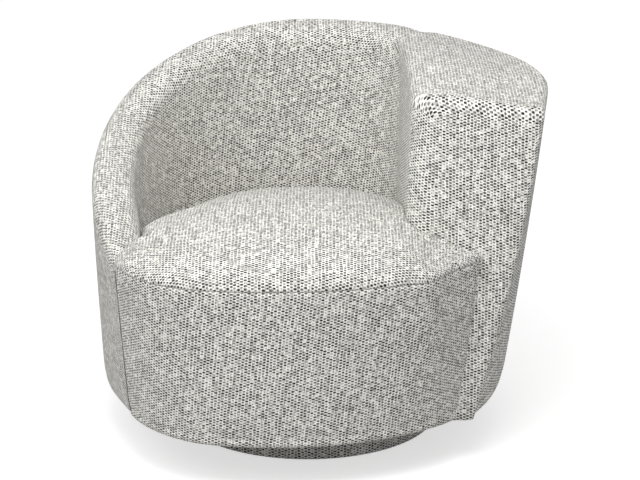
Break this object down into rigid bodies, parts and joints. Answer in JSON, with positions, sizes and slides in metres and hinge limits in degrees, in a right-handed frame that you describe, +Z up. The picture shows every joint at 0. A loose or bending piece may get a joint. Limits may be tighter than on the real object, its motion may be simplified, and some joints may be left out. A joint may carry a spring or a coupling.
{
  "type": "swivel rocker chair",
  "caption": "Upholstered barrel chair on a low round plinth; the seat turns all round and rocks; a low arm at one side rises over the back to an upright wing.",
  "frame": {"origin": "on the floor, on the swivel axis at the middle of the plinth", "axes": "+Z up along the swivel axis; -Y towards the sitter's front; +X towards the upright wing's side"},
  "size_m": [0.8208, 0.8049, 0.672],
  "materials": {
    "woven_fabric": "coarse two-tone weave, matte",
    "foam": "open-cell foam",
    "wadding": "polyester wadding",
    "felt": "needled felt",
    "felt_glide": "pressed felt",
    "lining_cloth": "thin non-woven cloth",
    "panel_board": "thin bent board",
    "plywood": "raw plywood",
    "spring_steel": "oil-tempered wire",
    "clip_plastic": "moulded",
    "black_steel": "black powder coat",
    "zinc_steel": "zinc plated"
  },
  "bodies": {
    "plinth": {"plinth_top_board": "plywood", "plinth_screws": "zinc_steel", "plinth_bottom_ring": "plywood", "plinth_blocks": "plywood", "plinth_hoop": "panel_board", "plinth_cover": "woven_fabric", "floor_glides": "felt_glide", "lower_bearing_plate": "black_steel", "plate_bolts": "zinc_steel", "plate_nuts": "zinc_steel", "bearing_balls": "zinc_steel", "ball_cage": "clip_plastic", "centre_pin": "zinc_steel"},
    "turntable": {"upper_bearing_plate": "black_steel", "bracket_rivets": "zinc_steel", "rocker_cradle": "black_steel", "pivot_bushes": "clip_plastic", "front_springs": "spring_steel", "rear_springs": "spring_steel"},
    "seat": {"back_posts": "plywood", "base_ring": "plywood", "bracket_screws": "zinc_steel", "dust_cover": "lining_cloth", "front_cover": "woven_fabric", "front_foam": "foam", "front_panel": "panel_board", "inside_cover": "woven_fabric", "inside_panel": "panel_board", "lower_posts": "plywood", "mechanism_rails": "plywood", "outside_cover": "woven_fabric", "outside_panel": "panel_board", "outside_wadding": "wadding", "pivot_bolts": "zinc_steel", "pivot_nuts": "zinc_steel", "seat_bracket": "black_steel", "seat_cover": "woven_fabric", "seat_foam": "foam", "seat_ring": "plywood", "seat_springs": "spring_steel", "spring_clips": "clip_plastic", "spring_felt": "felt", "top_rail": "plywood", "wall_foam": "foam", "wing_front_board": "plywood", "wing_front_pad": "woven_fabric"}
  },
  "joints": [
    {"name": "swivel", "type": "hinge", "parent": "plinth", "child": "turntable", "pos_m": [0, 0, 0.06], "axis": [0, 0, 1], "continuous": true},
    {"name": "rock", "type": "hinge", "parent": "turntable", "child": "seat", "pos_m": [0, 0, 0.15], "axis": [1, 0, 0], "range_deg": [-5, 5], "stiffness_Nm_per_rad": 600, "deforming": ["front_springs", "rear_springs"]}
  ]
}
